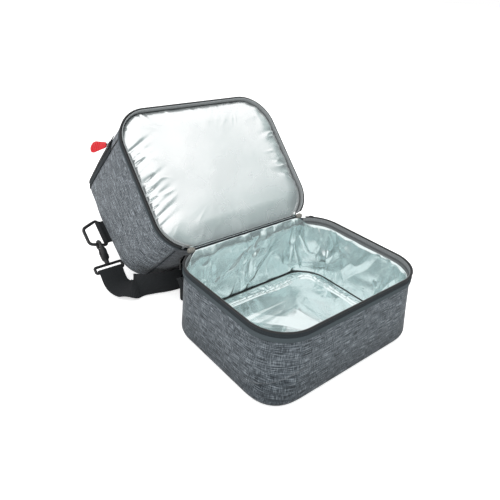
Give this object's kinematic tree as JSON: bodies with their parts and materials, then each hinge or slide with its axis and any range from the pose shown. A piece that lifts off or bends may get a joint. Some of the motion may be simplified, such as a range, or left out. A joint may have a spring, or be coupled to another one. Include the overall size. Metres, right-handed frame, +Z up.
{
  "type": "insulated cooler bag",
  "caption": "Two-deck insulated cooler bag with foil-lined compartments, a hinged upper deck with zipped front flap, and a clip-on shoulder strap.",
  "frame": {"origin": "centre of the underside of the lower compartment", "axes": "+X to the bag's right seen from the front, +Y towards the rear hinge, +Z up"},
  "size_m": [0.3682, 0.5029, 0.2638],
  "materials": {
    "heather_fabric": "woven",
    "charcoal_fabric": "woven",
    "zip_coil": "satin",
    "foil": "gloss",
    "foam": "matte",
    "patch_fabric": "woven",
    "webbing": "woven",
    "black_plastic": "satin",
    "red_rubber": "satin"
  },
  "bodies": {
    "lower": {"lower_base_panel": "heather_fabric", "lower_base_foam": "foam", "lower_wall_foam": "foam", "lower_outer_wall": "heather_fabric", "lower_liner_wall": "foil", "lower_liner_floor": "foil", "lower_zip_tape": "charcoal_fabric", "lower_zip_coil": "zip_coil", "hinge_binding": "charcoal_fabric", "zip_end_patch_left": "patch_fabric", "zip_end_patch_right": "patch_fabric"},
    "upper": {"upper_outer_wall": "heather_fabric", "upper_wall_foam": "foam", "upper_liner_wall": "foil", "upper_top_panel": "heather_fabric", "upper_top_foam": "foam", "upper_top_liner": "foil", "upper_liner_floor": "foil", "divider_board": "foam", "divider_foil_pad": "foil", "upper_zip_tape": "charcoal_fabric", "upper_zip_coil": "zip_coil", "mouth_zip_tape": "charcoal_fabric", "mouth_zip_coil": "zip_coil", "left_ring_tab": "webbing", "right_ring_tab": "webbing", "shoulder_strap": "webbing"},
    "flap": {"flap_outer_wall": "heather_fabric", "flap_wall_foam": "foam", "flap_liner_wall": "foil", "flap_top_panel": "heather_fabric", "flap_top_foam": "foam", "flap_top_liner": "foil", "flap_zip_tape": "charcoal_fabric", "flap_zip_coil": "zip_coil"},
    "flap_slider": {"flap_zip_slider": "black_plastic"},
    "flap_pull": {"flap_zip_pull": "red_rubber"},
    "slider_left": {"lower_zip_slider_left": "black_plastic"},
    "slider_right": {"lower_zip_slider_right": "black_plastic"},
    "pull_left": {"lower_zip_pull_left": "black_plastic"},
    "pull_right": {"lower_zip_pull_right": "black_plastic"},
    "clip_left": {"left_ring": "black_plastic", "left_swivel_base": "black_plastic"},
    "clip_right": {"right_ring": "black_plastic", "right_swivel_base": "black_plastic"},
    "hook_left": {"left_snap_hook": "black_plastic"},
    "hook_right": {"right_snap_hook": "black_plastic"},
    "gate_left": {"left_hook_gate": "black_plastic"},
    "gate_right": {"right_hook_gate": "black_plastic"},
    "adjuster": {"strap_adjuster": "black_plastic"}
  },
  "joints": [
    {"name": "upper_hinge", "type": "hinge", "parent": "lower", "child": "upper", "pos_m": [0, 0.1075, 0.107], "axis": [1, 0, 0], "range_deg": [0, 133.5]},
    {"name": "flap_hinge", "type": "hinge", "parent": "upper", "child": "flap", "pos_m": [0, 0.28888, 0.23127], "axis": [1, 0, 0], "range_deg": [0, 110]},
    {"name": "flap_zip_run", "type": "slide", "parent": "flap", "child": "flap_slider", "axis": [0, 0.7253, -0.6884], "range_m": [0, 0.11]},
    {"name": "flap_pull_hinge", "type": "hinge", "parent": "flap_slider", "child": "flap_pull", "pos_m": [-0.13378, 0.27863, 0.21089], "axis": [0.5, 0.5962, 0.6281], "range_deg": [-20, 140]},
    {"name": "left_zip_run", "type": "hinge", "parent": "lower", "child": "slider_left", "pos_m": [-0.085, 0.0575, 0.104], "axis": [0, 0, 1], "range_deg": [0, 45]},
    {"name": "right_zip_run", "type": "hinge", "parent": "lower", "child": "slider_right", "pos_m": [0.085, 0.0575, 0.104], "axis": [0, 0, -1], "range_deg": [0, 45]},
    {"name": "left_pull_hinge", "type": "hinge", "parent": "slider_left", "child": "pull_left", "pos_m": [-0.12269, 0.09936, 0.104], "axis": [0.7431, 0.6691, 0], "range_deg": [0, 110]},
    {"name": "right_pull_hinge", "type": "hinge", "parent": "slider_right", "child": "pull_right", "pos_m": [0.12269, 0.09936, 0.104], "axis": [0.7431, -0.6691, 0], "range_deg": [0, 110]},
    {"name": "left_ring_swing", "type": "hinge", "parent": "upper", "child": "clip_left", "pos_m": [-0.1473, 0.29427, 0.06484], "axis": [0, 0.7968, 0.6042], "range_deg": [0, 40], "deforming": ["shoulder_strap"]},
    {"name": "right_ring_swing", "type": "hinge", "parent": "upper", "child": "clip_right", "pos_m": [0.1473, 0.29427, 0.06484], "axis": [0, -0.7968, -0.6042], "range_deg": [0, 40], "deforming": ["shoulder_strap"]},
    {"name": "left_swivel", "type": "hinge", "parent": "clip_left", "child": "hook_left", "pos_m": [-0.1603, 0.27945, 0.0536], "axis": [0, -0.7901, -0.613], "range_deg": [-25, 25]},
    {"name": "right_swivel", "type": "hinge", "parent": "clip_right", "child": "hook_right", "pos_m": [0.1603, 0.27945, 0.0536], "axis": [0, -0.7901, -0.613], "range_deg": [-25, 25]},
    {"name": "left_gate_hinge", "type": "hinge", "parent": "hook_left", "child": "gate_left", "pos_m": [-0.1603, 0.25777, 0.03146], "axis": [1, 0, 0], "range_deg": [0, 14], "stiffness_Nm_per_rad": 0.05},
    {"name": "right_gate_hinge", "type": "hinge", "parent": "hook_right", "child": "gate_right", "pos_m": [0.1603, 0.25777, 0.03146], "axis": [1, 0, 0], "range_deg": [0, 14], "stiffness_Nm_per_rad": 0.05},
    {"name": "adjuster_slide", "type": "slide", "parent": "upper", "child": "adjuster", "axis": [1, 0, 0], "range_m": [-0.015, 0.015]}
  ]
}
